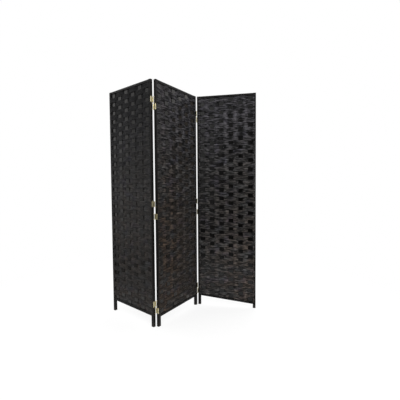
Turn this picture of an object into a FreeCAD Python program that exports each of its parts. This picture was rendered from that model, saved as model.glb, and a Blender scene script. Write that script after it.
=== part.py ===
"""Three-panel folding screen: wooden frames woven over with cord, on two-way link hinges.

Millimetres, +Z up.  The middle panel lies along X and its front faces -Y.  The left panel is folded
to the back and the right panel to the front.  The origin is under the middle of the whole screen.
"""
import FreeCAD
import Part
import Sketcher
import math
import os

from FreeCAD import Placement, Rotation, Vector

# Driving sizes: name, value and what it measures
SIZES = [
    ("panel_height", 1800, "floor to the top of a panel"),
    ("panel_width", 495, "a panel over its edge strips"),
    ("panel_thickness", 20, "edge strips, feet and cord wraps from front to back"),
    ("left_panel_left_foot", 90, "floor to the left panel's bottom rail at its left edge"),
    ("left_panel_right_foot", 79, "the same at its right edge"),
    ("middle_panel_left_foot", 69, "floor to the middle panel's bottom rail at its left edge"),
    ("middle_panel_right_foot", 79, "the same at its right edge"),
    ("right_panel_left_foot", 82, "floor to the right panel's bottom rail at its left edge"),
    ("right_panel_right_foot", 31, "the same at its right edge"),
    ("strip_width", 9, "edge strip along the panel"),
    ("strip_round", 1.5, "rounding of a strip's outer edges"),
    ("post_width", 14, "post along the panel at its foot and head"),
    ("core_corner", 1.5, "rounding of a post's rebated length"),
    ("rail_height", 16, "top and bottom rail"),
    ("rail_thickness", 16, "top and bottom rail from front to back"),
    ("tenon_length", 8, "rail tenon into the post"),
    ("tenon_height", 9, "rail tenon from top to bottom"),
    ("tenon_thickness", 8, "rail tenon from front to back"),
    ("wood_clearance", 0.15, "room round a tenon or a slat's end"),
    ("slat_count", 6, "slats in a panel"),
    ("slat_width", 38, "slat along the panel"),
    ("slat_thickness", 3, "slat from front to back"),
    ("slat_round", 1.2, "rounding of a slat's long edges"),
    ("slat_inset", 45, "panel edge to the middle of the outer slats"),
    ("slat_seat", 8, "slat's end in the rail"),
    ("left_panel_rows", 49, "rows of cord in the left panel"),
    ("middle_panel_rows", 47, "the same in the middle panel"),
    ("right_panel_rows", 47, "the same in the right panel"),
    ("row_gap", 0.4, "between two rows"),
    ("cord_thickness", 4, "a row of cords from front to back"),
    ("weave_clearance", 0.3, "cords to the wood that they pass round"),
    ("hinge_gap", 9, "between two panels when flat"),
    ("axis_stand_off", 1.5, "hinge axis beyond a panel's face"),
    ("low_hinge_height", 146, "floor to the middle of the low hinge"),
    ("middle_hinge_drop", 38, "middle of the panel's height down to the middle of the middle hinge"),
    ("high_hinge_drop", 169, "top of the panel down to the middle of the high hinge"),
    ("link_spacing", 50, "upper link to lower link of the low and high hinges"),
    ("middle_link_spacing", 92, "upper link to lower link of the middle hinge"),
    ("link_height", 38, "link plate"),
    ("link_thickness", 1.4, "link plate's metal"),
    ("wire_diameter", 2.5, "staple wire, which is also the hinge pin"),
    ("pin_clearance", 0.08, "staple wire to the rolled barrel, on the radius"),
    ("bend_radius", 2.5, "staple bend, at the wire's middle"),
    ("bend_rise", 0.4, "straight wire past the barrel's end"),
    ("staple_entry", 6, "strip's corner to the middle of the staple leg on its end face"),
    ("staple_depth", 8, "staple leg in the strip"),
    ("staple_clearance", 0.1, "staple leg to its hole, on the radius"),
    ("left_fold", 94, "degrees from flat, left panel to the back"),
    ("right_fold", 66.6, "degrees from flat, right panel to the front"),
]

UP = Vector(0, 0, 1)
ACROSS = Vector(1, 0, 0)
HALF_TURN = 180

doc = FreeCAD.newDocument("folding_screen")
sheet = doc.addObject("Spreadsheet::Sheet", "Sizes")
for line, (alias, value, meaning) in enumerate(SIZES, start=1):
    sheet.set(f"A{line}", meaning)
    sheet.set(f"B{line}", str(value))
    sheet.setAlias(f"B{line}", alias)
doc.recompute()
NAMES = {alias for alias, _, _ in SIZES}


def size(expression):
    """Value of a sum of named sizes, with a space on both sides of each name."""
    return float(sheet.evalExpression(expression))


def cells(expression):
    """The same sum as another object of the document reads it."""
    return " ".join(f"Sizes.{word}" if word in NAMES else word for word in expression.split())


def bind(thing, **expressions):
    """Binds properties of a document object to sums of named sizes."""
    for name, expression in expressions.items():
        thing.setExpression(name, cells(expression))


# Sums that more than one piece uses
INNER_EDGE = "( strip_width + post_width )"
CORE_OUTER = "( cord_thickness + 2 * weave_clearance )"
CORE_FRONT = "( cord_thickness + weave_clearance )"
FAR_INNER_EDGE = f"( panel_width - {INNER_EDGE} )"
WOVEN_HIGH = "( panel_height - rail_height )"
SLAT_SPAN = "( panel_width - 2 * slat_inset )"
BARREL_RADIUS = "( wire_diameter / 2 + pin_clearance + link_thickness )"

width = size("panel_width")
thickness = size("panel_thickness")
gap = size("hinge_gap")
stand_off = size("axis_stand_off")
slat_pitch = size(f"{SLAT_SPAN} / ( slat_count - 1 )")


def rail_underside(panel, across):
    """Height of a panel's bottom rail above the floor: a straight slope from edge to edge."""
    left, right = f"{panel}_panel_left_foot", f"{panel}_panel_right_foot"
    return f"( {left} + ( {right} - {left} ) * {across} / panel_width )"


def woven_low(panel, across):
    """Height at which the weaving starts, on the bottom rail."""
    return f"( {rail_underside(panel, across)} + rail_height )"


# Places of the panels

def place_at(across, through, up):
    """Place in a panel: along it from its left edge, back from its front face, up from the floor."""
    return Placement(Vector(across, through, up), Rotation())


def turned(degrees, axis):
    """Turn about an upright axis."""
    return Placement(Vector(), Rotation(UP, degrees), axis)


# A half turn about the panel's upright middle line swaps its left and right edges
SWAP_EDGES = Placement(Vector(width, thickness, 0), Rotation(UP, HALF_TURN))

# The left and right panels swing about upright axes in the middle of the hinge gaps
left_axis = Vector(-gap / 2, thickness + stand_off, 0)
right_axis = Vector(width + gap / 2, -stand_off, 0)
PANELS = {
    "left": turned(-size("left_fold"), left_axis).multiply(place_at(-width - gap, 0, 0)),
    "middle": Placement(),
    "right": turned(-size("right_fold"), right_axis).multiply(place_at(width + gap, 0, 0)),
}

nodes = []


def keep(thing, label, panel, place=None):
    """Names a finished sub-part and notes the panel that carries it and its place there."""
    thing.Label = label
    nodes.append((thing, PANELS[panel].multiply(place or Placement())))


# Features of the wooden pieces

def outline(body, name, plane, corners, lift="0"):
    """Sketch of straight lines between corners on an origin plane, each corner held by two sums."""
    sketch = body.newObject("Sketcher::SketchObject", name)
    support = next(item for item in body.Origin.OriginFeatures if item.Role == plane)
    sketch.AttachmentSupport = [(support, "")]
    sketch.MapMode = "FlatFace"
    sketch.setExpression("AttachmentOffset.Base.z", cells(lift))
    points = [Vector(size(across), size(along)) for across, along in corners]
    for start, end in zip(points, points[1:] + points[:1]):
        sketch.addGeometry(Part.LineSegment(start, end))
    for side in range(len(corners)):
        sketch.addConstraint(Sketcher.Constraint("Coincident", side, 2, (side + 1) % len(corners), 1))
    for side, sums in enumerate(corners):
        for kind, axis, expression in zip(("DistanceX", "DistanceY"), (-2, -1), sums):
            if expression == "0":
                sketch.addConstraint(Sketcher.Constraint("PointOnObject", side, 1, axis))
                continue
            place = sketch.addConstraint(Sketcher.Constraint(kind, -1, 1, side, 1, size(expression)))
            sketch.setExpression(f"Constraints[{place}]", cells(expression))
    return sketch


def rectangle(body, name, plane, low, high, lift="0"):
    """Sketch of a rectangle between its low and its high corner."""
    corners = [low, (high[0], low[1]), high, (low[0], high[1])]
    return outline(body, name, plane, corners, lift)


def feature(body, kind, sketch, length, backwards=False):
    """Pad or pocket of a sketch by a sum of named sizes; a pocket goes against the sketch's direction."""
    made = body.newObject(f"PartDesign::{kind}", f"{sketch.Name}_{kind.lower()}")
    made.Profile = sketch
    made.Reversed = backwards
    bind(made, Length=length)
    doc.recompute()
    return made


def same(first, second):
    """Two places agree within the modeller's own tolerance."""
    return math.isclose(first, second, abs_tol=Part.Vertex(0, 0, 0).Tolerance)


def round_uprights(body, base, radius, across=None):
    """Fillet of the base's upright edges, all of them or those at one place across."""
    edges = []
    for number, edge in enumerate(base.Shape.Edges, start=1):
        start, end = (vertex.Point for vertex in edge.Vertexes)
        upright = same(start.x, end.x) and same(start.y, end.y)
        if upright and (across is None or same(start.x, across)):
            edges.append(f"Edge{number}")
    made = body.newObject("PartDesign::Fillet", f"{base.Name}_round")
    made.Base = (base, edges)
    bind(made, Radius=radius)
    doc.recompute()
    return made


# Posts

def make_post(panel, edge, place):
    """Post: full section at foot and head, a slimmer core between them for the cords to wrap."""
    label = f"{panel}_panel_{edge}_post"
    body = doc.addObject("PartDesign::Body", label)
    outer, inner = {
        "left": ("strip_width", INNER_EDGE),
        "right": ("( panel_width - strip_width )", FAR_INNER_EDGE),
    }[edge]
    foot_top = f"min( {woven_low(panel, outer)} ; {woven_low(panel, inner)} )"
    core = rectangle(body, f"{label}_core", "XY_Plane", (CORE_OUTER, CORE_FRONT),
                     ("post_width", f"panel_thickness - {CORE_FRONT}"), foot_top)
    core_pad = feature(body, "Pad", core, f"{WOVEN_HIGH} - {foot_top}")
    round_uprights(body, core_pad, "core_corner", size(CORE_OUTER))
    full = (("0", "0"), ("post_width", "panel_thickness"))
    foot = rectangle(body, f"{label}_foot", "XY_Plane", *full)
    feature(body, "Pad", foot, foot_top)
    head = rectangle(body, f"{label}_head", "XY_Plane", *full, WOVEN_HIGH)
    feature(body, "Pad", head, "rail_height")
    front = "( panel_thickness - tenon_thickness ) / 2 - wood_clearance"
    back = f"{front} + tenon_thickness + 2 * wood_clearance"
    for end, level in (("low", rail_underside(panel, inner)), ("high", WOVEN_HIGH)):
        low = f"{level} + ( rail_height - tenon_height ) / 2 - wood_clearance"
        high = f"{low} + tenon_height + 2 * wood_clearance"
        name = f"{label}_{end}_mortise"
        mortise = rectangle(body, name, "YZ_Plane", (front, low), (back, high), "post_width")
        body.Tip = feature(body, "Pocket", mortise, "tenon_length + wood_clearance")
    keep(body, label, panel, place)


# Rails

def slat_middle(number):
    """Place across the panel of the middle of a slat, counted from the left."""
    return f"( slat_inset + {number} * {SLAT_SPAN} / ( slat_count - 1 ) )"


def make_rail(panel, end, underside, seat):
    """Rail that may slope, with a level tenon at both ends and a mortise for each slat.

    The underside and the seat of the slats are heights above the floor at a place across.
    """
    label = f"{panel}_panel_{end}_rail"
    body = doc.addObject("PartDesign::Body", f"{label}_bar")
    ends = (INNER_EDGE, FAR_INNER_EDGE)
    lower = [(across, underside(across)) for across in ends]
    upper = [(across, f"{underside(across)} + rail_height") for across in reversed(ends)]
    bar = outline(body, f"{label}_side", "XZ_Plane", lower + upper)
    feature(body, "Pad", bar, "rail_thickness", True)
    for across, name in zip(ends, ("left", "right")):
        low = f"{underside(across)} + ( rail_height - tenon_height ) / 2"
        tenon = rectangle(body, f"{label}_{name}_tenon", "XZ_Plane", (f"{across} - tenon_length", low),
                          (f"{across} + tenon_length", f"{low} + tenon_height"),
                          "( tenon_thickness - rail_thickness ) / 2")
        body.Tip = feature(body, "Pad", tenon, "tenon_thickness", True)
    front = size("( panel_thickness - rail_thickness ) / 2")
    body.Placement = place_at(0, front, 0)
    mortises = []
    for number in range(round(size("slat_count"))):
        mortise = doc.addObject("Part::Box", f"{label}_mortise")
        bind(mortise, Length="slat_width + 2 * wood_clearance", Width="slat_thickness + 2 * wood_clearance",
             Height="slat_seat + wood_clearance + rail_height")
        across = size(f"{slat_middle(number)} - slat_width / 2 - wood_clearance")
        through = size("( panel_thickness - slat_thickness ) / 2 - wood_clearance")
        mortise.Placement = place_at(across, through, size(seat(slat_middle(number))))
        mortises.append(mortise)
    row = doc.addObject("Part::Compound", f"{label}_mortises")
    row.Links = mortises
    rail = doc.addObject("Part::Cut", label)
    rail.Base = body
    rail.Tool = row
    keep(rail, label, panel)


# Slats

def make_slat(panel, number):
    """Flat upright slat with rounded long edges, seated in both rails."""
    label = f"{panel}_panel_slat_{number + 1}"
    body = doc.addObject("PartDesign::Body", label)
    section = rectangle(body, f"{label}_section", "XY_Plane", ("0", "0"), ("slat_width", "slat_thickness"))
    low = f"( {woven_low(panel, slat_middle(number))} - slat_seat )"
    blank = feature(body, "Pad", section, f"{WOVEN_HIGH} + slat_seat - {low}")
    body.Tip = round_uprights(body, blank, "slat_round")
    across = size(f"{slat_middle(number)} - slat_width / 2")
    through = size("( panel_thickness - slat_thickness ) / 2")
    keep(body, label, panel, place_at(across, through, size(low)))


# Woven rows

class Band:
    """Outline of a band of one thickness that follows straight runs and tangent turns."""

    def __init__(self, start, heading, band):
        self.place = start
        self.heading = heading
        self.half = band / 2
        self.left = []
        self.right = []

    def sides(self):
        """The edges of both sides, with the side step from the band's middle to each."""
        return (self.left, self.half), (self.right, -self.half)

    def normal(self):
        """Direction to the left of the way the band runs."""
        return Vector(-math.sin(self.heading), math.cos(self.heading), 0)

    def run(self, length):
        """Straight run."""
        step = Vector(math.cos(self.heading), math.sin(self.heading), 0) * length
        for edges, side in self.sides():
            start = self.place + self.normal() * side
            edges.append(Part.LineSegment(start, start + step).toShape())
        self.place = self.place + step
        return self

    def turn(self, radius, angle):
        """Tangent turn, to the left where the angle is positive."""
        hand = math.copysign(1, angle)
        middle = self.place + self.normal() * (hand * radius)
        headings = [self.heading + share * angle for share in (0, 1 / 2, 1)]
        spokes = [Vector(math.sin(way), -math.cos(way), 0) * hand for way in headings]
        for edges, side in self.sides():
            reach = radius - hand * side
            edges.append(Part.Arc(*[middle + spoke * reach for spoke in spokes]).toShape())
        self.place = middle + spokes[-1] * radius
        self.heading += angle
        return self

    def shift(self, length, side_step):
        """Two equal and opposite turns: forward by the length and to the left by the side step."""
        radius = (length ** 2 + side_step ** 2) / (4 * abs(side_step))
        angle = math.copysign(2 * math.atan2(abs(side_step), length), side_step)
        return self.turn(radius, angle).turn(radius, -angle)

    def face(self):
        """Flat face inside the outline, which the two square ends close."""
        starts = [edges[0].firstVertex(True).Point for edges in (self.left, self.right)]
        ends = [edges[-1].lastVertex(True).Point for edges in (self.left, self.right)]
        caps = [Part.LineSegment(*points).toShape() for points in (starts, ends)]
        return Part.Face(Part.Wire(Part.__sortEdges__(self.left + self.right + caps)))


def row_face(hand):
    """Section of a row from above: hooked round the left post, woven past the slats, hooked at the right.

    A hand of 1 passes in front of the first slat, -1 behind it.
    """
    past_slat = size("slat_thickness / 2 + weave_clearance + cord_thickness / 2")
    past_post = size("panel_thickness / 2 - cord_thickness / 2")
    bend = size("core_corner + weave_clearance + cord_thickness / 2")
    inner = size(INNER_EDGE)
    beside_post = inner - size("strip_width + weave_clearance + cord_thickness / 2") - bend
    round_post = 2 * (past_post - bend)
    slat = size("slat_width")
    rise = size("slat_inset") - inner
    quarter = math.pi / 2
    row = Band(Vector(inner, thickness / 2 + hand * past_post, 0), math.pi, size("cord_thickness"))
    row.run(beside_post).turn(bend, hand * quarter).run(round_post).turn(bend, hand * quarter)
    row.run(beside_post).shift(rise, hand * (past_post - past_slat)).run(slat / 2)
    gaps = round(size("slat_count")) - 1
    for number in range(1, gaps + 1):
        row.shift(slat_pitch - slat, hand * 2 * past_slat)
        hand = -hand
        row.run(slat if number < gaps else slat / 2)
    row.shift(rise, hand * (past_slat - past_post)).run(beside_post)
    row.turn(bend, hand * quarter).run(round_post).turn(bend, hand * quarter).run(beside_post)
    return row.face()


def row_wedge(panel, number):
    """Space of a row between two lines that fan out from the top rail to the bottom rail."""
    count = round(size(f"{panel}_panel_rows"))
    half_gap = size("row_gap / 2")
    top = size(WOVEN_HIGH)
    corners = []
    for across, expression in ((0, "0"), (width, "panel_width")):
        drop = (top - size(woven_low(panel, expression))) / count
        corners.append(Vector(across, -thickness, top - (number + 1) * drop + half_gap))
        corners.append(Vector(across, -thickness, top - number * drop - half_gap))
    low_left, high_left, low_right, high_right = corners
    side = Part.Face(Part.makePolygon([low_left, low_right, high_right, high_left, low_left]))
    return side.extrude(Vector(0, 3 * thickness, 0))


def make_rows(panel, label, hand, first):
    """Every second row of a panel from the given one down, as bands with a small gap between them."""
    column = row_face(hand).extrude(UP * size("panel_height"))
    rows = []
    for number in range(first, round(size(f"{panel}_panel_rows")), 2):
        rows.extend(column.common(row_wedge(panel, number)).Solids)
    band = doc.addObject("Part::Feature", f"{panel}_panel_{label}")
    band.Shape = Part.makeCompound(rows)
    keep(band, f"{panel}_panel_{label}", panel)


# Hinges

HINGES = (
    ("low", "low_hinge_height", "link_spacing"),
    ("middle", "panel_height / 2 - middle_hinge_drop", "middle_link_spacing"),
    ("high", "panel_height - high_hinge_drop", "link_spacing"),
)
staple_half = size("link_height / 2 + bend_rise + bend_radius")


def hinge_axis(edge, face):
    """Place in a panel of the hinge axis beside one of its edges and one of its faces."""
    across = {"left": -gap / 2, "right": width + gap / 2}[edge]
    through = {"front": -stand_off, "back": thickness + stand_off}[face]
    return Vector(across, through, 0)


def staple_way(edge, face):
    """Direction of a staple leg from the hinge axis into the strip, and its length to the end face."""
    across = {"left": 0, "right": width}[edge]
    through = {"front": size("staple_entry"), "back": thickness - size("staple_entry")}[face]
    way = Vector(across, through, 0) - hinge_axis(edge, face)
    reach = way.Length
    return way.normalize(), reach


def staple_levels(faces):
    """Face and level of each staple of a strip: one for each hinge's upper and lower link."""
    levels = []
    for _, middle, spacing in HINGES:
        levels.append((faces["upper"], size(f"{middle} + {spacing} / 2")))
        levels.append((faces["lower"], size(f"{middle} - {spacing} / 2")))
    return levels


def make_strip(panel, edge, place, staples):
    """Edge strip with rounded outer edges and slanted holes for the staples that it holds."""
    label = f"{panel}_panel_{edge}_strip"
    body = doc.addObject("PartDesign::Body", f"{label}_bar")
    section = rectangle(body, f"{label}_section", "XY_Plane", ("0", "0"), ("strip_width", "panel_thickness"))
    blank = feature(body, "Pad", section, "panel_height")
    body.Tip = round_uprights(body, blank, "strip_round", 0)
    if not staples:
        keep(body, label, panel, place)
        return
    body.Placement = place
    holes = []
    for face, level in staples:
        way, reach = staple_way(edge, face)
        for rise in (-staple_half, staple_half):
            hole = doc.addObject("Part::Cylinder", f"{label}_hole")
            bind(hole, Radius="wire_diameter / 2 + staple_clearance")
            hole.Height = reach + size("staple_depth + staple_clearance")
            hole.Placement = Placement(hinge_axis(edge, face) + UP * (level + rise), Rotation(UP, way))
            holes.append(hole)
    drill = doc.addObject("Part::Compound", f"{label}_drill")
    drill.Links = holes
    strip = doc.addObject("Part::Cut", label)
    strip.Base = body
    strip.Tool = drill
    keep(strip, label, panel)


def make_link(panel, edge, label, level):
    """Link plate beside a panel's end face, with a rolled barrel on the front and the back hinge axis."""
    low = level - size("link_height / 2")
    axes = [hinge_axis(edge, face) + UP * low for face in ("front", "back")]
    plate = doc.addObject("Part::Box", f"{label}_plate")
    bind(plate, Length="link_thickness", Width="panel_thickness + 2 * axis_stand_off", Height="link_height")
    inward = size(BARREL_RADIUS) if edge == "right" else size(f"link_thickness - {BARREL_RADIUS}")
    plate.Placement = Placement(axes[0] - ACROSS * inward, Rotation())
    barrels = []
    bores = []
    for axis in axes:
        barrel = doc.addObject("Part::Cylinder", f"{label}_barrel")
        bind(barrel, Radius=BARREL_RADIUS, Height="link_height")
        barrel.Placement = Placement(axis, Rotation())
        barrels.append(barrel)
        bore = doc.addObject("Part::Cylinder", f"{label}_bore")
        bind(bore, Radius="wire_diameter / 2 + pin_clearance", Height="link_height")
        bore.Placement = Placement(axis, Rotation())
        bores.append(bore)
    blank = doc.addObject("Part::MultiFuse", f"{label}_blank")
    blank.Shapes = [plate] + barrels
    drill = doc.addObject("Part::Compound", f"{label}_drill")
    drill.Links = bores
    link = doc.addObject("Part::Cut", label)
    link.Base = blank
    link.Tool = drill
    keep(link, label, panel)


def staple(edge, face, level):
    """Wire staple: two legs in the strip, joined by the upright pin that a barrel turns on."""
    way, reach = staple_way(edge, face)
    bend = size("bend_radius")
    axis = hinge_axis(edge, face)
    tip = way * (reach + size("staple_depth"))
    corner = bend * (1 - math.sqrt(1 / 2))
    runs = []
    for rise, hand in ((level + staple_half, -1), (level - staple_half, 1)):
        leg = axis + UP * rise
        into = leg + way * bend
        along = leg + UP * (hand * bend)
        middle = leg + (way + UP * hand) * corner
        runs.append((leg + tip, into, middle, along))
    upper, lower = runs
    edges = [
        Part.LineSegment(upper[0], upper[1]).toShape(),
        Part.Arc(upper[1], upper[2], upper[3]).toShape(),
        Part.LineSegment(upper[3], lower[3]).toShape(),
        Part.Arc(lower[3], lower[2], lower[1]).toShape(),
        Part.LineSegment(lower[1], lower[0]).toShape(),
    ]
    section = Part.Wire(Part.Circle(upper[0], way, size("wire_diameter / 2")).toShape())
    return Part.Wire(edges).makePipeShell([section], True, False)


def make_staples(panel, edge, staples):
    """All staples of one strip."""
    label = f"{panel}_panel_{edge}_staples"
    group = doc.addObject("Part::Feature", label)
    group.Shape = Part.makeCompound([staple(edge, face, level) for face, level in staples])
    keep(group, label, panel)


# Strips that carry hinges: the face of the strip that holds each hinge's upper and lower link
STAPLED = {
    ("left", "right"): {"upper": "front", "lower": "back"},
    ("middle", "left"): {"upper": "back", "lower": "front"},
    ("middle", "right"): {"upper": "back", "lower": "front"},
    ("right", "left"): {"upper": "front", "lower": "back"},
}

# Panel and edge that the upper and the lower link of each fold lie on
FOLDS = {
    "left_hinge": {"upper": ("left", "right"), "lower": ("middle", "left")},
    "right_hinge": {"upper": ("middle", "right"), "lower": ("right", "left")},
}

# Rows are counted from the top: the first one of each panel that passes in front of its first slat
FIRST_OVER = {"left": 1, "middle": 1, "right": 0}

post_place = place_at(size("strip_width"), 0, 0)

for panel in PANELS:
    for edge, swap in (("left", Placement()), ("right", SWAP_EDGES)):
        faces = STAPLED.get((panel, edge))
        staples = staple_levels(faces) if faces else []
        make_post(panel, edge, swap.multiply(post_place))
        make_strip(panel, edge, swap, staples)
        if staples:
            make_staples(panel, edge, staples)
    make_rail(panel, "bottom", lambda across, panel=panel: rail_underside(panel, across),
              lambda across, panel=panel: f"{woven_low(panel, across)} - slat_seat - wood_clearance")
    make_rail(panel, "top", lambda across: WOVEN_HIGH, lambda across: f"{WOVEN_HIGH} - rail_height")
    for number in range(round(size("slat_count"))):
        make_slat(panel, number)
    make_rows(panel, "rows_over_first_slat", 1, FIRST_OVER[panel])
    make_rows(panel, "rows_under_first_slat", -1, 1 - FIRST_OVER[panel])

for fold, links in FOLDS.items():
    for name, middle, spacing in HINGES:
        for which, sign in (("upper", "+"), ("lower", "-")):
            level = size(f"{middle} {sign} {spacing} / 2")
            make_link(*links[which], f"{fold}_{name}_{which}_link", level)

# Every piece in its place, then the whole screen over the origin
doc.recompute()
for thing, place in nodes:
    thing.Placement = place
doc.recompute()
whole = Part.makeCompound([thing.Shape for thing, _ in nodes]).optimalBoundingBox(False, False)
over_origin = place_at(-whole.Center.x, -whole.Center.y, -whole.ZMin)
for thing, place in nodes:
    thing.Placement = over_origin.multiply(place)
doc.recompute()

for thing in doc.Objects:
    if {"Invalid", "Error"} & set(thing.State):
        raise RuntimeError(f"{thing.Label} did not build: {thing.State}")
for thing, _ in nodes:
    if thing.Shape.isNull() or not thing.Shape.isValid():
        raise RuntimeError(f"{thing.Label} has no sound shape")

os.makedirs("parts", exist_ok=True)
for thing, _ in nodes:
    thing.Shape.exportStep(f"parts/{thing.Label}.step")

shift = over_origin.Base
print(f"{len(nodes)} pieces, {whole.XLength:.2f} x {whole.YLength:.2f} x {whole.ZLength:.2f} mm")
for name, axis in (("left fold axis", left_axis), ("right fold axis", right_axis)):
    print(f"{name}: {axis.x + shift.x:.4f}, {axis.y + shift.y:.4f}")
print(f"middle panel's left front corner: {shift.x:.4f}, {shift.y:.4f}")
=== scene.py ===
"""Folding screen of three frames, black slats woven over with charcoal cord, on brass link hinges."""
import math

import bpy
import numpy as np
from mathutils import Matrix, Vector


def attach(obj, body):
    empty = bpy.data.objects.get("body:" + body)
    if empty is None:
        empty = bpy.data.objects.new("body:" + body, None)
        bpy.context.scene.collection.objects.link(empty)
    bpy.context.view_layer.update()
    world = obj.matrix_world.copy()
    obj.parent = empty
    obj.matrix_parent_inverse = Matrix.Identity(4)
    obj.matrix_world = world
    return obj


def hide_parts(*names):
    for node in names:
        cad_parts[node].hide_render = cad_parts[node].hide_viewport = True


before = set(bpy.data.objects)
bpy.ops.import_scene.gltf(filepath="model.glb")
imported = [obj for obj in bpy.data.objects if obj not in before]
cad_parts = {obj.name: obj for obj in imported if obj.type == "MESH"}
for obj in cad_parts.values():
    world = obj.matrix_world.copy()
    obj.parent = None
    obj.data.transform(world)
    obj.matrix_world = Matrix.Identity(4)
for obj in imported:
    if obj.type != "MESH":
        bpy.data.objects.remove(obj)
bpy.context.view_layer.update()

# Sizes of a panel in metres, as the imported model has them
WIDTH = 0.495
THICKNESS = 0.020
TOP_ROW = 1.784
RAIL = 0.016
ROWS = {"left": 49, "middle": 47, "right": 47}
CORDS_IN_ROW = 9
SLAT_COUNT = 6
FIRST_SLAT = 0.045
SLAT_PITCH = 0.081
SLAT_WIDTH = 0.038
POST_INNER = 0.023

# Height of each bottom rail's underside at the panel's left and right edge
FEET = {"left": (0.090, 0.079), "middle": (0.069, 0.079), "right": (0.082, 0.031)}

# Rows are counted from the top: the first that passes in front of its panel's first slat
FIRST_OVER = {"left": 1, "middle": 1, "right": 0}

# Where a flat panel's left front corner stands, the upright axis that it is then turned about, and degrees
MIDDLE_CORNER = (-0.3434804, -0.0311658)
PLACES = {
    "left": ((-0.8474804, -0.0311658), (-0.3479804, -0.0096658), -94.0),
    "middle": (MIDDLE_CORNER, MIDDLE_CORNER, 0.0),
    "right": ((0.1605196, -0.0311658), (0.1560196, -0.0326658), -66.6),
}

MIDDLE_PLANE = THICKNESS / 2
FULL_TURN = 2 * math.pi

SEED = 47
chance = np.random.default_rng(SEED)


def panel_matrix(panel):
    """Rest place of a panel: its corner set down, then the panel turned about its hinge axis."""
    corner, axis, degrees = PLACES[panel]
    pivot = Matrix.Translation((*axis, 0))
    turn = Matrix.Rotation(math.radians(degrees), 4, "Z")
    return pivot @ turn @ pivot.inverted() @ Matrix.Translation((*corner, 0))


def add_object(name, data):
    """New object of the scene, at the origin."""
    thing = bpy.data.objects.new(name, data)
    bpy.context.scene.collection.objects.link(thing)
    return thing


# Woven cord

# Middle line of a cord: from the panel's middle plane on a slat, its rise over the slat's middle, from the
# middle plane on a post, from the panel's edge beside a post, and the radius of its turns round the post
ON_SLAT = 0.0038
SLAT_CROWN = 0.0004
ON_POST = 0.0080
BESIDE_POST = 0.0109
BEND = 0.0038

# Tail that turns in behind the post: places from the panel's edge and from its middle plane, and how far
# from the post's inner edge the cord starts to lie flat
TAIL_ACROSS = (0.0244, 0.0238, 0.0222)
TAIL_DEPTH = (0.0040, 0.0061, 0.0075)
TAIL_RUN = 0.003

# Points on a quarter turn, on the way from a post to a slat and in a gap between slats, and round a cord
TURN_POINTS = 5
RISE_POINTS = 5
SWING_POINTS = 6
CORD_SIDES = 6

# Half a cord from front to back; half its height as a share of the space between cords, held by a post
# and how much less in the open; least share of both at a tail, which tapers over some points
CORD_HALF = 0.0020
HELD_TALL = 0.74
OPEN_SLACK = 0.08
TAIL_THICK = 0.25
TAIL_TALL = 0.8
TAPER_POINTS = 3

# How much a row spreads in height on a face, and the lengths beside a post over which the spread and the
# unevenness set in
ROW_SPREAD = 0.12
SPREAD_RUN = 0.003
LOOSE_RUN = 0.03

# Unevenness: lengths of the sines along a cord, and their height.  Those of the section are shares of it
ROW_WAVER = ((0.31, 0.12), 0.0006)
CORD_WAVER = ((0.13, 0.05), 0.0003)
SINK_WAVER = ((0.17, 0.06), 0.0003)
THICK_WAVER = ((0.09, 0.04), 0.06)
TALL_WAVER = ((0.11, 0.05), 0.05)
WAVER_STRETCH = (0.8, 1.25)


def cord_route():
    """Way of a cord in plan, from tail to tail, for a row that starts in front of the first slat.

    Across the slats it swings between the two faces as a half cosine in each gap between slats and
    lies flat on each slat.  At both ends it goes round the post in two quarter circles and comes
    back to the post's inner edge, where its tail turns in behind the post.
    """
    middle_of_turn = BESIDE_POST + BEND
    quarter = np.linspace(0, math.pi / 2, TURN_POINTS)
    rise = np.linspace(0, 1, RISE_POINTS)
    across = [
        TAIL_ACROSS,
        [POST_INNER - TAIL_RUN],
        middle_of_turn - BEND * np.sin(quarter),
        middle_of_turn - BEND * np.cos(quarter),
        POST_INNER + (FIRST_SLAT - POST_INNER) * rise,
    ]
    depth = [
        TAIL_DEPTH,
        [ON_POST],
        ON_POST - BEND * (1 - np.cos(quarter)),
        -ON_POST + BEND - BEND * np.sin(quarter),
        -ON_POST + (ON_POST - ON_SLAT) * (1 - np.cos(math.pi * rise)) / 2,
    ]
    end_across, end_depth = np.concatenate(across), np.concatenate(depth)
    swing = np.linspace(0, 1, SWING_POINTS)
    for gap in range(SLAT_COUNT - 1):
        middle = FIRST_SLAT + gap * SLAT_PITCH
        face = -1 if gap % 2 == 0 else 1
        if gap:
            across.append([middle])
            depth.append([face * (ON_SLAT + SLAT_CROWN)])
        across.append(middle + SLAT_WIDTH / 2 + (SLAT_PITCH - SLAT_WIDTH) * swing)
        depth.append(face * ON_SLAT * np.cos(math.pi * swing))
    across = np.concatenate(across + [(WIDTH - end_across)[::-1]])
    depth = np.concatenate(depth + [-end_depth[::-1]])
    return across, depth + MIDDLE_PLANE


def waver(shape, along, lengths, size):
    """Slow unevenness along a cord: sines of random phase and length added up, and their mean taken."""
    total = np.zeros(shape + along.shape)
    for length in lengths:
        phase = chance.uniform(0, FULL_TURN, shape + (1,))
        stretch = chance.uniform(*WAVER_STRETCH, shape + (1,))
        total += np.sin(FULL_TURN * along / (length * stretch) + phase)
    return size * total / len(lengths)


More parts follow.
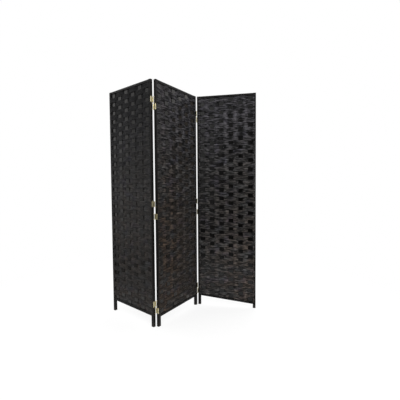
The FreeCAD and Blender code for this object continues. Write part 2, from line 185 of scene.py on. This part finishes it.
def row_points(panel, hand, first):
    """Points of the cords of every second row of a panel from the given one down, and the way along a cord.

    Each cord is an oval carried along the route; a hand of -1 swaps front and back.  A row's middle
    line lies between two lines that fan out from the top rail to the sloping bottom rail.  Its cords
    stand evenly above each other, and spread by up to an eighth as they swing away from the panel's
    middle plane, so that rows on the two faces of a slat overlap in height.
    """
    across, depth = cord_route()
    depth = MIDDLE_PLANE + hand * (depth - MIDDLE_PLANE)
    count = ROWS[panel]
    rows = np.arange(first, count, 2)
    shape = (rows.size, CORDS_IN_ROW)
    tangent = np.stack([np.gradient(across), np.gradient(depth)])
    tangent /= np.linalg.norm(tangent, axis=0)
    way = np.concatenate([[0], np.cumsum(np.hypot(np.diff(across), np.diff(depth)))])

    left, right = FEET[panel]
    low = left + (right - left) * across / WIDTH + RAIL
    pitch = (TOP_ROW - low) / count
    middle = TOP_ROW - (rows[:, None] + 0.5) * pitch
    from_post = np.minimum(across, WIDTH - across) - POST_INNER
    on_face = np.clip(np.abs(depth - MIDDLE_PLANE) / ON_SLAT, 0, 1) * np.clip(from_post / SPREAD_RUN, 0, 1)
    place = np.arange(CORDS_IN_ROW) - (CORDS_IN_ROW - 1) / 2
    under_top = (rows[:, None] == 0) & (place < 0)
    over_bottom = (rows[:, None] == count - 1) & (place > 0)
    free = ~(under_top | over_bottom)
    step = pitch / CORDS_IN_ROW * (1 + ROW_SPREAD * on_face * free[..., None])
    loose = np.clip(from_post / LOOSE_RUN, 0, 1)
    height = middle[:, None, :] - place[None, :, None] * step
    height += loose * (waver((rows.size, 1), way, *ROW_WAVER) + waver(shape, way, *CORD_WAVER))
    sink = waver(shape, way, *SINK_WAVER)

    number = np.arange(way.size)
    taper = np.clip(np.minimum(number, number[::-1]) / TAPER_POINTS, TAIL_THICK, 1)
    thick = CORD_HALF * taper * (1 + waver(shape, way, *THICK_WAVER))
    tall = (HELD_TALL - OPEN_SLACK * loose) * step * np.maximum(taper, TAIL_TALL)
    tall = tall * (1 + waver(shape, way, *TALL_WAVER))
    angle = FULL_TURN * np.arange(CORD_SIDES) / CORD_SIDES
    out = sink[..., None] + thick[..., None] * np.cos(angle)
    points = np.empty(shape + (way.size, CORD_SIDES, 3))
    points[..., 0] = across[:, None] - tangent[1][:, None] * out
    points[..., 1] = depth[:, None] + tangent[0][:, None] * out
    points[..., 2] = height[..., None] + tall[..., None] * np.sin(angle)
    return points.reshape(-1, way.size, CORD_SIDES, 3), way


def woven_rows(panel, name, hand, first):
    """Piece of the cords of every second row: quads from ring to ring, and a flat cap on both tails.

    The map called lay holds the way along the cord and the share of a turn round it.  Each cord has a
    random tint of its own.
    """
    points, way = row_points(panel, hand, first)
    cord_count, ring_count, sides, _ = points.shape
    start = np.arange(cord_count) * ring_count * sides
    ring = np.arange(ring_count - 1)[:, None] * sides
    spoke = np.arange(sides)[None, :]
    following = (spoke + 1) % sides
    quads = np.stack([ring + spoke, ring + following, ring + sides + following, ring + sides + spoke], -1)
    quads = (start[:, None, None, None] + quads).reshape(-1, 4)
    start_caps = start[:, None] + np.arange(sides)[::-1]
    end_caps = start_caps[:, ::-1] + (ring_count - 1) * sides

    along = np.stack([way[:-1], way[:-1], way[1:], way[1:]], -1)[:, None]
    around = np.stack([spoke, spoke + 1, spoke + 1, spoke], -1) / sides
    grid = np.stack(np.broadcast_arrays(along, around), -1).reshape(-1, 2)
    caps = np.zeros((2 * cord_count * sides, 2))

    mesh = bpy.data.meshes.new(name)
    mesh.from_pydata(points.reshape(-1, 3), [], quads.tolist() + start_caps.tolist() + end_caps.tolist())
    lay = mesh.uv_layers.new(name="lay")
    lay.data.foreach_set("uv", np.concatenate([np.tile(grid, (cord_count, 1)), caps]).ravel())
    tint = mesh.attributes.new("cord_tint", "FLOAT", "POINT")
    tint.data.foreach_set("value", np.repeat(chance.uniform(0, 1, cord_count), ring_count * sides))
    mesh.polygons.foreach_set("use_smooth", np.ones(len(mesh.polygons), bool))
    mesh.transform(panel_matrix(panel))
    mesh.update()
    return add_object(name, mesh)


# Finishes

class Finish:
    """Nodes of a material or of the sky: makes nodes, sets their inputs and links them by name."""

    def __init__(self, holder):
        holder.use_nodes = True
        self.tree = holder.node_tree

    def node(self, name):
        """Node that is there from the start."""
        return self.tree.nodes[name]

    def add(self, kind, settings=None, **inputs):
        """New node; an input is a plain value or another node's output."""
        node = self.tree.nodes.new("ShaderNode" + kind)
        for key, value in (settings or {}).items():
            setattr(node, key, value)
        self.feed(node, **inputs)
        return node

    def feed(self, node, **inputs):
        """Sets or links inputs: an underscore stands for a space, n and a number for the input's place."""
        for key, value in inputs.items():
            numbered = key[0] == "n" and key[1:].isdigit()
            socket = node.inputs[int(key[1:]) if numbered else key.replace("_", " ")]
            if isinstance(value, bpy.types.NodeSocket):
                self.tree.links.new(value, socket)
            else:
                socket.default_value = value

    def sum(self, operation, *values):
        """One step of arithmetic."""
        inputs = {f"n{number}": value for number, value in enumerate(values)}
        return self.add("Math", {"operation": operation}, **inputs).outputs[0]

    def product(self, *values):
        """All values multiplied."""
        result, *others = values
        for value in others:
            result = self.sum("MULTIPLY", result, value)
        return result

    def off(self, value, middle):
        """Distance of a value from a middle, to either side."""
        return self.sum("ABSOLUTE", self.sum("SUBTRACT", value, middle))

    def along(self, first, second, operation="DOT_PRODUCT"):
        """One number from two directions or places: how far they agree, or their distance."""
        return self.add("VectorMath", {"operation": operation}, n0=first, n1=second).outputs["Value"]

    def between(self, value, span, ends=(0.0, 1.0)):
        """Smooth step of a value: from the span's start to its end, the result goes from end to end."""
        low, high = span
        to_low, to_high = ends
        settings = {"interpolation_type": "SMOOTHSTEP"}
        inputs = {"From_Min": low, "From_Max": high, "To_Min": to_low, "To_Max": to_high}
        return self.add("MapRange", settings, Value=value, **inputs).outputs[0]

    def colours(self, share, *stops):
        """Colour ramp through the stops, each a place and a colour."""
        ramp = self.add("ValToRGB", Fac=share)
        elements = ramp.color_ramp.elements
        while len(elements) < len(stops):
            elements.new(1)
        for element, (place, colour) in zip(elements, stops):
            element.position = place
            element.color = (*colour, 1)
        return ramp.outputs[0]

    def mix(self, share, first, second, blend="MIX"):
        """Mix of two colours."""
        node = self.add("Mix", {"data_type": "RGBA", "blend_type": blend}, n0=share)
        for place, value in (("n6", first), ("n7", second)):
            self.feed(node, **{place: value if isinstance(value, bpy.types.NodeSocket) else (*value, 1)})
        return node.outputs[2]

    def stained(self, share, colour, stain):
        """A share of a colour multiplied by a stain."""
        return self.mix(share, colour, self.mix(1.0, colour, stain, "MULTIPLY"))

    def noise(self, place, grain=None, scale=1.0, detail=3.0, roughness=0.5):
        """Cloudy variation from 0 to 1; a grain draws the clouds out by its own scale on each axis."""
        if grain is not None:
            place = self.add("Mapping", Vector=place, Scale=grain).outputs[0]
        return self.add("TexNoise", Vector=place, Scale=scale, Detail=detail, Roughness=roughness).outputs[0]

    def place(self):
        """Place in the object's own frame."""
        return self.add("TexCoord").outputs["Object"]

    def in_panel(self, panel):
        """Place measured in a panel: across it, back from its front face and up from the floor."""
        inverse = panel_matrix(panel).inverted()
        turn = {"Location": inverse.to_translation(), "Rotation": inverse.to_euler()}
        return self.add("Mapping", Vector=self.place(), **turn).outputs[0]

    def bump(self, height, strength, distance, before=None):
        """Relief; chained after another relief where one is given."""
        inputs = {"Height": height, "Strength": strength, "Distance": distance}
        if before is not None:
            inputs["Normal"] = before
        return self.add("Bump", **inputs).outputs[0]

    def surface(self, **inputs):
        """Feeds the shader of the surface."""
        self.feed(self.node("Principled BSDF"), **inputs)


# Places across a panel between which its left edge's value turns into its right edge's
EDGE_TO_EDGE = (0.08, 0.42)

# How strongly light and dark streaks show in each panel's cord at foot and top: partly the cords' own tone,
# partly painted highlights that grow towards the top
STREAKS_AND_HIGHLIGHTS = {"left": (0.3, 0.55), "middle": (0.65, 1.5), "right": (1.0, 1.8)}
STREAK_HEIGHTS = (0.4, 1.6)
STREAK_GRAIN = (20, 20, 125)
STREAK_SPAN = (0.40, 0.62)
STREAK_RANGE = (-0.8, 1.9)
LEAST_STREAK = 0.12

# Painted light and shade: how much lighter or darker each panel's cord is painted at foot, middle and top,
# and those places as shares of the height. A ramp ends at 1, so it holds half of each
CORD_PAINTED_LIGHT = {"left": (0.88, 1.14, 0.22), "middle": (0.99, 1.13, 1.0), "right": (1.36, 0.9, 1.18)}
SHADE_PLACES = (0.2, 0.55, 0.95)
RAMP_SHARE = 2.0

# How brown each panel's cord has gone at its left and right edge, in patches, more towards the floor
CORD_BROWN = {"left": (0.5, 0.5), "middle": (1.25, 0.45), "right": (0.35, 0.65)}
PATCH_GRAIN = (9, 9, 14)
PATCH_SPAN = (0.3, 0.6)
BROWN_HEIGHTS = (0.3, 1.6)
BROWN_LEVELS = (1.0, 0.15)
BROWN_STAIN = (1.4, 1.0, 0.72)

# Violet cast: in clouds, and everywhere towards the top
CAST_GRAIN = (7, 7, 9)
CAST_SCALE = 1.3
CAST_SPAN = (0.50, 0.68)
CAST_LEVELS = (0.0, 0.7)
CAST_HEIGHTS = (1.1, 1.7)
CAST_AT_TOP = (0.0, 0.45)
VIOLET_STAIN = (0.98, 0.94, 1.22)

# Colour of the darkest, the middle and the palest cord of a row
CORD_COLOURS = (
    (0.0, (0.012, 0.012, 0.012)),
    (0.5, (0.0205, 0.0202, 0.0203)),
    (1.0, (0.031, 0.0307, 0.0309)),
)

# Painted light: the cord is painted brighter in its hollows near the panel's middle plane, where it lies in
# shade, than where it stands proud
PROUD = (0.001, 0.006)
HOLLOW_PAINTED_LIGHT = (1.45, 0.95)

# Twists to a metre of cord, fibres along and round it, and the step in the fibres from one cord to the next
TWISTS = 190.0
FIBRES = (900, 60, 1)
CORD_STEP = 37.0


def cord_finish(panel):
    """Twisted charcoal cord.

    Each cord has its own tone, with light and dark streaks that are partly painted highlights, painted light
    and shade by height and in the hollows, a brown or violet cast and a slanting lay.
    """
    material = bpy.data.materials.new(f"charcoal_cord_{panel}")
    finish = Finish(material)
    tint = finish.add("Attribute", {"attribute_name": "cord_tint"}).outputs["Fac"]
    place = finish.in_panel(panel)
    across, depth, height = finish.add("SeparateXYZ", Vector=place).outputs

    streaks = finish.noise(place, STREAK_GRAIN, detail=2.0, roughness=0.6)
    # The streaks are partly painted highlights, stronger towards the top
    strength = finish.between(height, STREAK_HEIGHTS, STREAKS_AND_HIGHLIGHTS[panel])
    shade = finish.sum("MULTIPLY_ADD", finish.between(streaks, STREAK_SPAN, STREAK_RANGE), strength, 1.0)
    # Painted light and shade: the cord is painted lighter or darker by height, to its own levels on each
    # panel
    stops = [(at, (painted_level / RAMP_SHARE,) * 3) for at, painted_level in zip(SHADE_PLACES, CORD_PAINTED_LIGHT[panel])]
    painted_by_height = finish.colours(finish.sum("DIVIDE", height, TOP_ROW), *stops)
    shade = finish.product(finish.sum("MAXIMUM", shade, LEAST_STREAK), finish.product(painted_by_height, RAMP_SHARE))
    # Painted light in the hollows near the middle plane, where the cord lies in shade
    shade = finish.product(shade, finish.between(finish.off(depth, MIDDLE_PLANE), PROUD, HOLLOW_PAINTED_LIGHT))
    grey = finish.add("CombineColor", n0=shade, n1=shade, n2=shade).outputs[0]
    colour = finish.mix(1.0, finish.colours(tint, *CORD_COLOURS), grey, "MULTIPLY")

    patches = finish.between(finish.noise(place, PATCH_GRAIN, detail=2.0), PATCH_SPAN)
    to_floor = finish.between(height, BROWN_HEIGHTS, BROWN_LEVELS)
    brown = finish.product(patches, to_floor, finish.between(across, EDGE_TO_EDGE, CORD_BROWN[panel]))
    colour = finish.stained(brown, colour, BROWN_STAIN)
    clouds = finish.noise(place, CAST_GRAIN, scale=CAST_SCALE, detail=2.0)
    violet = finish.between(clouds, CAST_SPAN, CAST_LEVELS)
    violet = finish.sum("MAXIMUM", violet, finish.between(height, CAST_HEIGHTS, CAST_AT_TOP))
    colour = finish.stained(violet, colour, VIOLET_STAIN)

    lay = finish.add("UVMap", {"uv_map": "lay"}).outputs[0]
    along, around, _ = finish.add("SeparateXYZ", Vector=lay).outputs
    turns = finish.sum("MULTIPLY_ADD", along, TWISTS, around)
    twist = finish.sum("SINE", finish.product(turns, FULL_TURN))
    own_place = finish.add("CombineXYZ", X=along, Y=finish.sum("MULTIPLY_ADD", tint, CORD_STEP, around))
    fibres = finish.noise(own_place.outputs[0], FIBRES, detail=2.0)
    relief = finish.bump(twist, strength=0.5, distance=0.0003)
    relief = finish.bump(fibres, strength=0.35, distance=0.0002, before=relief)
    rough = finish.between(streaks, (0.2, 0.8), (0.7, 0.52))
    finish.surface(Base_Color=colour, Roughness=rough, Normal=relief, Specular_IOR_Level=0.25)
    return material


# Painted light and shade: how light each panel's slats are painted at its left and right edge, lightest at
# the middle panel's right edge and darkest on the right panel
SLAT_PAINTED_LIGHT = {"left": (2.9, 2.7), "middle": (2.6, 10.0), "right": (0.5, 0.35)}
SLAT_DARK = np.array([0.0022, 0.0019, 0.0017])
SLAT_LIGHT = np.array([0.0066, 0.0056, 0.0048])
SLAT_FIBRES = (900, 900, 9)
SLAT_CLOUDS = (30, 30, 5)

# How strongly brown clouds show in each panel's slats, their colour and that of a cane's joint
SLAT_BROWN = {"left": 0.5, "middle": 0.5, "right": 0.12}
CLOUD_COLOUR = (0.012, 0.008, 0.0055)
RING_COLOUR = (0.016, 0.012, 0.009)

# Joints of the cane: half the distance between two, half a ring's height, how much of its colour shows,
# and how slats differ in their level
HALF_CANE = 0.145
RING_HALF = 0.0035
RING_SHOWS = 0.45
SLAT_SHIFT = 1.7
GOLDEN_PART = 0.618


def slat_finish(panel):
    """Black lacquered bamboo slat: long fine fibres, a faint ring at a joint of the cane, rubbed gloss, and
    painted light and shade that differ per panel.
    """
    material = bpy.data.materials.new(f"black_slat_{panel}")
    finish = Finish(material)
    place = finish.in_panel(panel)
    across, _, height = finish.add("SeparateXYZ", Vector=place).outputs
    from_first = finish.sum("SUBTRACT", across, FIRST_SLAT - SLAT_PITCH / 2)
    slat = finish.sum("FLOOR", finish.sum("DIVIDE", from_first, SLAT_PITCH))
    share = finish.sum("FRACT", finish.product(finish.sum("ADD", slat, SLAT_SHIFT), GOLDEN_PART))
    level = finish.sum("ADD", height, finish.product(share, 2 * HALF_CANE))
    ring = finish.between(finish.sum("PINGPONG", level, HALF_CANE), (0.0, RING_HALF), (1.0, 0.0))
    fibres = finish.noise(place, SLAT_FIBRES, roughness=0.6)
    clouds = finish.noise(place, SLAT_CLOUDS)

    # Painted light and shade: slats painted lighter or darker per panel, from edge to edge
    first, last = (
        finish.colours(fibres, (0.25, SLAT_DARK * painted_level), (0.75, SLAT_LIGHT * painted_level))
        for painted_level in SLAT_PAINTED_LIGHT[panel]
    )
    colour = finish.mix(finish.between(across, EDGE_TO_EDGE), first, last)
    colour = finish.mix(finish.between(clouds, (0.5, 0.8), (0.0, SLAT_BROWN[panel])), colour, CLOUD_COLOUR)
    colour = finish.mix(finish.product(ring, RING_SHOWS), colour, RING_COLOUR)
    gloss = finish.between(clouds, (0.3, 0.7), (0.14, 0.22))
    rough = finish.sum("ADD", gloss, finish.product(fibres, 0.05))
    relief = finish.bump(fibres, strength=0.25, distance=0.00005)
    relief = finish.bump(ring, strength=0.5, distance=0.0004, before=relief)
    finish.surface(Base_Color=colour, Roughness=rough, Normal=relief, Specular_IOR_Level=0.5)
    return material


# Wood grain to a metre along and across it
GRAIN_ALONG = 8
GRAIN_ACROSS = 260

# Paint in the grain's hollows and on its ridges, in its clouds, and the wood where it is rubbed through
PAINT_DARK = (0.0032, 0.003, 0.0029)
PAINT_LIGHT = (0.0085, 0.0076, 0.007)
PAINT_CLOUD = (0.012, 0.0095, 0.008)
BARE_WOOD = (0.075, 0.052, 0.035)

# Where an edge starts and ends, from the middle of the thickness and of the width, and the height over
# which a foot is scuffed
FACE_EDGE = (0.0075, 0.0100)
SIDE_EDGE = (0.2450, 0.2475)
SCUFFED = (0.0, 0.05)

# How much bare wood shows at most along an edge and on a foot
EDGE_WEAR = 0.55
FOOT_WEAR = 0.6


def frame_finish(panel, lying=False):
    """Satin black paint on wood: grain that shows through, rubbed thin along the edges and at the feet."""
    material = bpy.data.materials.new(f"black_{'rail' if lying else 'post'}_{panel}")
    finish = Finish(material)
    place = finish.in_panel(panel)
    across, depth, height = finish.add("SeparateXYZ", Vector=place).outputs
    directions = (GRAIN_ALONG, GRAIN_ACROSS, GRAIN_ACROSS)
    grain = finish.noise(place, directions if lying else directions[::-1], detail=4.0, roughness=0.6)
    clouds = finish.noise(place, scale=14.0)
    speckle = finish.noise(place, scale=160.0, roughness=0.6)

    at_face = finish.between(finish.off(depth, MIDDLE_PLANE), FACE_EDGE)
    at_side = finish.between(finish.off(across, WIDTH / 2), SIDE_EDGE)
    corner = finish.sum("ADD", at_face, at_side)
    edge = finish.between(finish.sum("ADD", corner, finish.product(speckle, 1.2)), (2.1, 2.7))
    foot = finish.between(height, SCUFFED, (1.0, 0.0))
    scuff = finish.product(foot, finish.between(speckle, (0.5, 0.62)))
    wear = finish.sum("ADD", finish.product(edge, EDGE_WEAR), finish.product(scuff, FOOT_WEAR))
    wear = finish.sum("MINIMUM", wear, 1.0)

    colour = finish.colours(grain, (0.3, PAINT_DARK), (0.7, PAINT_LIGHT))
    colour = finish.mix(finish.between(clouds, (0.5, 0.75), (0.0, 0.4)), colour, PAINT_CLOUD)
    colour = finish.mix(wear, colour, BARE_WOOD)
    satin = finish.between(clouds, (0.3, 0.7), (0.36, 0.5))
    rough = finish.sum("ADD", satin, finish.product(wear, 0.2))
    relief = finish.bump(grain, strength=0.3, distance=0.0004)
    relief = finish.bump(speckle, strength=0.1, distance=0.0002, before=relief)
    finish.surface(Base_Color=colour, Roughness=rough, Normal=relief, Specular_IOR_Level=0.2)
    return material


# Brush marks on brass, fine round it and long up it
BRUSH_GRAIN = (2600, 2600, 60)


def metal_finish(name, bright, dull, roughness):
    """Brass: brushed along its height, clouded with tarnish that is darker and rougher."""
    material = bpy.data.materials.new(name)
    finish = Finish(material)
    place = finish.place()
    clouds = finish.noise(place, scale=55.0, detail=4.0, roughness=0.6)
    brush = finish.noise(place, BRUSH_GRAIN, detail=2.0)
    specks = finish.between(finish.noise(place, scale=420.0), (0.6, 0.72), (0.0, 0.25))
    tarnish = finish.sum("ADD", finish.between(clouds, (0.45, 0.75), (0.0, 0.75)), specks)
    polish = finish.between(clouds, (0.3, 0.75), roughness)
    rough = finish.sum("ADD", polish, finish.product(brush, 0.1))
    relief = finish.bump(brush, strength=0.15, distance=0.0001)
    colour = finish.mix(tarnish, bright, dull)
    finish.surface(Base_Color=colour, Roughness=rough, Normal=relief, Metallic=1.0)
    return material


# Dressing

def dress(piece, material):
    """Gives a piece one finish in place of those that it has."""
    piece.data.materials.clear()
    piece.data.materials.append(material)


brass = metal_finish("worn_brass", (0.86, 0.78, 0.50), (0.48, 0.38, 0.18), (0.24, 0.42))
wire = metal_finish("dull_brass_wire", (0.72, 0.60, 0.34), (0.34, 0.26, 0.13), (0.30, 0.5))
for panel in PLACES:
    body = f"{panel}_panel"
    posts = frame_finish(panel)
    special = {"_slat_": slat_finish(panel), "_rail": frame_finish(panel, lying=True), "_staples": wire}
    for name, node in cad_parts.items():
        if name.startswith(body):
            dress(node, next((finish for part, finish in special.items() if part in name), posts))
    cord = cord_finish(panel)
    for label, hand, first in (("over", 1, FIRST_OVER[panel]), ("under", -1, 1 - FIRST_OVER[panel])):
        piece = woven_rows(panel, f"{panel}_cords_{label}", hand, first)
        dress(piece, cord)
        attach(piece, body)
        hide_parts(f"{body}_rows_{label}_first_slat")
for name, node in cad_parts.items():
    if name.endswith("_link"):
        dress(node, brass)

# Camera, at the place and angle of the view: degrees round from +X, down and to the side

EYE = Vector((-1.8728, -1.4586, 1.0318))
LOOK = 34.512
DIP = 2.644
LEAN = -0.387
LENS = 25.77
SENSOR = 36

camera = add_object("camera", bpy.data.cameras.new("camera"))
camera.data.sensor_width = SENSOR
camera.data.lens = LENS
camera.matrix_world = (
    Matrix.Translation(EYE)
    @ Matrix.Rotation(math.radians(LOOK - 90), 4, "Z")
    @ Matrix.Rotation(math.radians(90 - DIP), 4, "X")
    @ Matrix.Rotation(math.radians(LEAN), 4, "Z")
)
bpy.context.scene.camera = camera

# Floor: a round pale sheet.  It is white to the eye, with a share of real light so that the shadow stays.
# In gloss it is pale only in front of the screen's middle, and it throws back less light further out

FLOOR_RADIUS = 2.4
RIM_POINTS = 96
FRONT_SPOT = (-0.45, -0.35, 0.0)
DIM_PAPER = (0.05, 0.05, 0.05)
PALE_PAPER = (0.5, 0.5, 0.5)
SEEN_PAPER = (0.9, 0.9, 0.9)
WHITE = (1, 1, 1, 1)

rim = FULL_TURN * np.arange(RIM_POINTS) / RIM_POINTS
sheet = bpy.data.meshes.new("floor")
sheet.from_pydata(np.stack([FLOOR_RADIUS * np.cos(rim), FLOOR_RADIUS * np.sin(rim), 0 * rim], -1), [],
                  [range(RIM_POINTS)])
floor = add_object("floor", sheet)
pale_floor = bpy.data.materials.new("pale_floor")
pale = Finish(pale_floor)
path = pale.add("LightPath").outputs
spot = pale.place()
from_middle = pale.along(spot, (0, 0, 0), "DISTANCE")
from_front = pale.along(spot, FRONT_SPOT, "DISTANCE")
direct = pale.sum("MAXIMUM", path["Is Camera Ray"], path["Is Transmission Ray"])
gloss = pale.product(path["Is Glossy Ray"], pale.between(from_front, (0.15, 0.8), (0.4, 0.0)))
seen = pale.product(direct, pale.between(from_middle, (1.0, 2.1), (0.8, 1.0)))
near = pale.between(from_middle, (0.6, 1.8), (1.0, 0.0))
paper = pale.mix(direct, pale.colours(near, (0.0, DIM_PAPER), (1.0, PALE_PAPER)), SEEN_PAPER)
pale.surface(Base_Color=paper, Roughness=0.9, Specular_IOR_Level=0.1)
real = pale.node("Principled BSDF").outputs[0]
glow = pale.add("Emission", Color=WHITE, Strength=1.0).outputs[0]
lit = pale.add("MixShader", Fac=pale.sum("MAXIMUM", seen, gloss), n1=real, n2=glow)
pale.feed(pale.node("Material Output"), Surface=lit.outputs[0])
dress(floor, pale_floor)

# Sky: white to the eye.  A soft light from above that is dim at eye level, faint walls to both sides and a
# card on the right light the screen, and gloss also shows a pale backdrop on the far side

AWAY = Vector((math.cos(math.radians(LOOK)), math.sin(math.radians(LOOK)), 0))
SIDE = Vector((AWAY.y, -AWAY.x, 0))
CARD = Vector((0.86, -0.44, 0.22)).normalized()

studio = bpy.data.worlds.new("studio")
bpy.context.scene.world = studio
sky = Finish(studio)
path = sky.add("LightPath").outputs
toward = sky.add("TexCoord").outputs["Generated"]
rise = sky.add("SeparateXYZ", Vector=toward).outputs[2]
to_left = sky.along(toward, -SIDE)
left_wall = sky.between(to_left, (0.5, 0.98), (0.0, 0.3))
right_wall = sky.between(to_left, (-0.5, -0.98), (0.0, 0.22))
right_card = sky.between(sky.along(toward, CARD), (0.93, 0.99), (0.0, 0.7))
walls = sky.sum("ADD", sky.sum("ADD", left_wall, right_wall), right_card)
soft = sky.sum("ADD", sky.between(rise, (0.15, 0.85), (0.03, 1.7)), walls)
shiny = sky.sum("MAXIMUM", path["Is Glossy Ray"], path["Is Transmission Ray"])
backdrop = sky.product(shiny, sky.between(sky.along(toward, AWAY), (0.55, 0.8), (0.0, 0.2)))
white = sky.sum("MAXIMUM", path["Is Camera Ray"], backdrop)
level = sky.add("Mix", n0=white, n2=soft, n3=1.0).outputs[0]
sky.feed(sky.node("Background"), Color=WHITE, Strength=level)

# Lamps: soft boxes and dimmer cards, upright and turned to the screen.  Each stands so far to the right of
# the eye, away from it and above the floor, and has its width, height and level of light

LAMPS = (
    ("front_box", -2.3, -1.0, 2.55, 2.3, 1.6, 0.95),
    ("front_card", -2.3, -1.0, 1.0, 2.3, 1.5, 0.35),
    ("top_box", -0.3, -1.0, 3.25, 1.8, 1.2, 0.5),
    ("left_box", -3.2, 3.3, 2.4, 2.0, 1.7, 0.6),
    ("left_card", -3.2, 3.3, 0.85, 2.0, 1.4, 0.4),
    ("back_box", 1.2, 5.2, 2.4, 2.4, 1.8, 3.0),
    ("right_box", 1.9, -0.6, 2.7, 2.0, 1.6, 3.2),
)
TO_SCREEN = 2.3

for name, side, away, up, wide, tall, level in LAMPS:
    lamp = bpy.data.lights.new(name, "AREA")
    lamp.shape = "RECTANGLE"
    lamp.size = wide
    lamp.size_y = tall
    lamp.energy = level * math.pi * wide * tall
    box = add_object(name, lamp)
    box.visible_camera = False
    box.location = Vector((EYE.x, EYE.y, up)) + SIDE * side + AWAY * away
    aim = EYE + AWAY * TO_SCREEN - box.location
    aim.z = 0
    box.rotation_euler = aim.to_track_quat("-Z", "Y").to_euler()

bpy.context.scene.view_settings.view_transform = "Standard"
